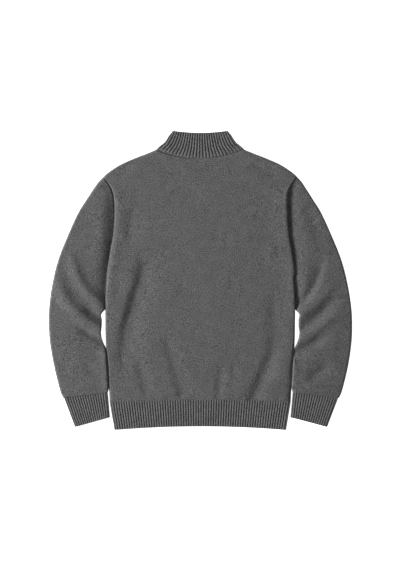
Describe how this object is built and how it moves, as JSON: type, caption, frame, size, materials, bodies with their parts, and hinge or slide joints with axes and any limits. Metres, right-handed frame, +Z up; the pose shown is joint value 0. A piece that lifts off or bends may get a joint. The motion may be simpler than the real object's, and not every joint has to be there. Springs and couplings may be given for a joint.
{
  "type": "knit cardigan",
  "caption": "Hip-length knit cardigan with a ribbed stand collar, cuffs and hem and a full-length front zip, laid flat on its front with the back up.",
  "frame": {"origin": "middle of the garment's outline, on the surface that it lies on", "axes": "+Z up out of the back panel, +Y up the body to the collar, +X to the wearer's right"},
  "size_m": [0.7301, 0.7185, 0.0108],
  "materials": {
    "wool": "felted charcoal wool knit",
    "rib_wool": "charcoal wool rib knit",
    "tape_cloth": "woven dark grey tape",
    "gunmetal": "dark plated metal"
  },
  "bodies": {
    "garment": {"back_panel": "wool", "front_left": "wool", "front_right": "wool", "sleeve_left": "wool", "sleeve_right": "wool", "collar": "rib_wool", "cuff_left": "rib_wool", "cuff_right": "rib_wool", "hem_back": "rib_wool", "hem_front_left": "rib_wool", "hem_front_right": "rib_wool", "zip_tape_left": "tape_cloth", "zip_tape_right": "tape_cloth", "zip_chain_left": "gunmetal", "zip_chain_right": "gunmetal", "zip_box": "gunmetal", "zip_stop_left": "gunmetal", "zip_stop_right": "gunmetal", "zip_slider": "gunmetal"},
    "pull": {"zip_pull": "gunmetal"}
  },
  "joints": [
    {"name": "pull_hinge", "type": "hinge", "parent": "garment", "child": "pull", "pos_m": [0, 0.2931, 0.00125], "axis": [1, 0, 0], "range_deg": [0, 170]}
  ]
}
